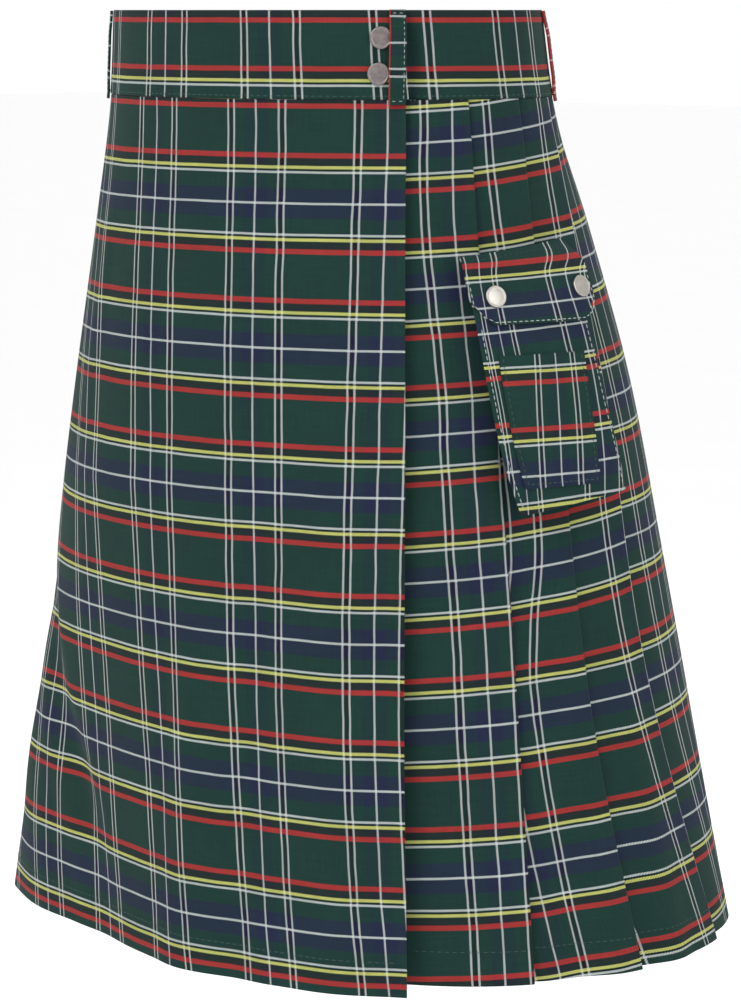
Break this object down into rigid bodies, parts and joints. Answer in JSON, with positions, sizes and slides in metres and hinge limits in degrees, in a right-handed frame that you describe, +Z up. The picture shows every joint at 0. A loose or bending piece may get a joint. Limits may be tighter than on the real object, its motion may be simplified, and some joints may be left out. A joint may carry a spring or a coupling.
{
  "type": "pleated utility kilt",
  "caption": "Wrap-over pleated skirt in checked cloth, filled out as worn, with a flat apron, belt loops, press studs and a cargo pocket.",
  "frame": {"origin": "middle of the waist opening, half way up the waistband, where the wearer holds the skirt up", "axes": "+Z up along the wearer, -Y the wearer's front, +X the wearer's left"},
  "size_m": [0.5026, 0.4062, 0.5735],
  "materials": {
    "cloth": "twill woven check, matt",
    "band_cloth": "interlined twill check, matt",
    "pocket_cloth": "twill woven check, matt",
    "waist_stud": "satin gunmetal",
    "flap_stud": "satin nickel"
  },
  "bodies": {
    "root": {"apron": "cloth", "under_apron": "cloth", "pleats_left": "cloth", "pleats_back": "cloth", "pleats_right": "cloth", "waistband_front": "band_cloth", "waistband_back": "band_cloth", "waistband_under": "band_cloth", "belt_loop_front": "band_cloth", "belt_loop_left": "band_cloth", "belt_loop_back": "band_cloth", "belt_loop_right": "band_cloth", "belt_loop_front_right": "band_cloth", "pocket_bag": "pocket_cloth", "pocket_flap": "pocket_cloth", "pocket_patch": "pocket_cloth", "stud_waist_upper": "waist_stud", "stud_waist_lower": "waist_stud", "stud_flap_left": "flap_stud", "stud_flap_right": "flap_stud"}
  },
  "joints": []
}
